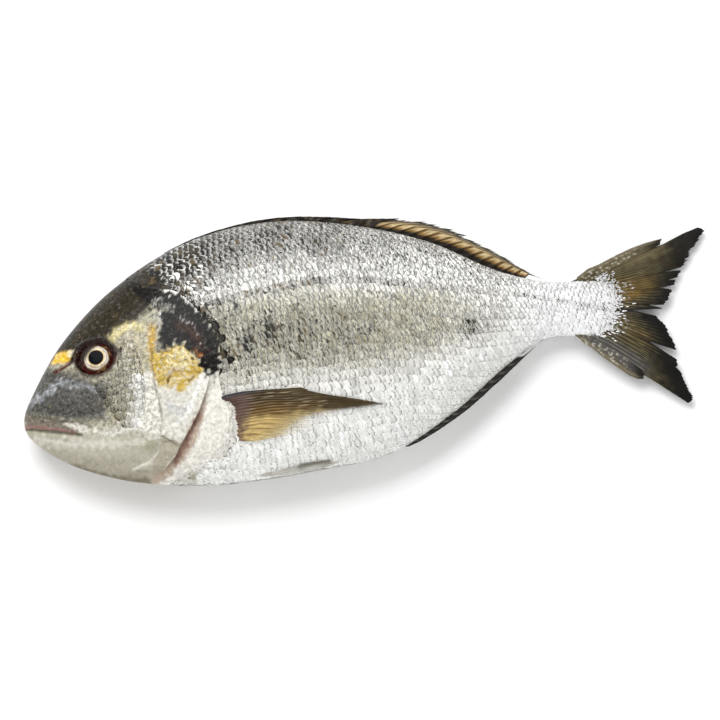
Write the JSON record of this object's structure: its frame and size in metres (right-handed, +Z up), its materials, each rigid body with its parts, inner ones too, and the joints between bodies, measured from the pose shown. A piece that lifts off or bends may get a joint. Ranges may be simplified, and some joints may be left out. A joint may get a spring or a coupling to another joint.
{
  "type": "sea bream",
  "caption": "Whole raw sea bream lying on its right side, with eyes, folded paired and back fins and a forked tail.",
  "frame": {"origin": "on the surface the fish lies on, below the middle of its bounding box", "axes": "+X from the snout to the tail, +Y from the belly to the back, +Z up, from the right flank it lies on to the left flank"},
  "size_m": [0.3, 0.1162, 0.0401],
  "materials": {
    "silver_skin": "wet silver scaled skin, dark olive on the back",
    "eye": "clear wet cornea over a silver iris and a black pupil",
    "dark_fin": "damp olive-brown membrane between fine rays, black at the margin",
    "golden_fin": "damp golden-brown membrane between fine rays",
    "pale_fin": "damp pale grey membrane"
  },
  "bodies": {
    "root": {"body": "silver_skin", "left_eye": "eye", "right_eye": "eye", "dorsal_fin": "dark_fin", "anal_fin": "dark_fin", "tail_fin": "dark_fin", "left_pectoral_fin": "golden_fin", "right_pectoral_fin": "golden_fin", "left_pelvic_fin": "pale_fin", "right_pelvic_fin": "pale_fin"}
  },
  "joints": []
}
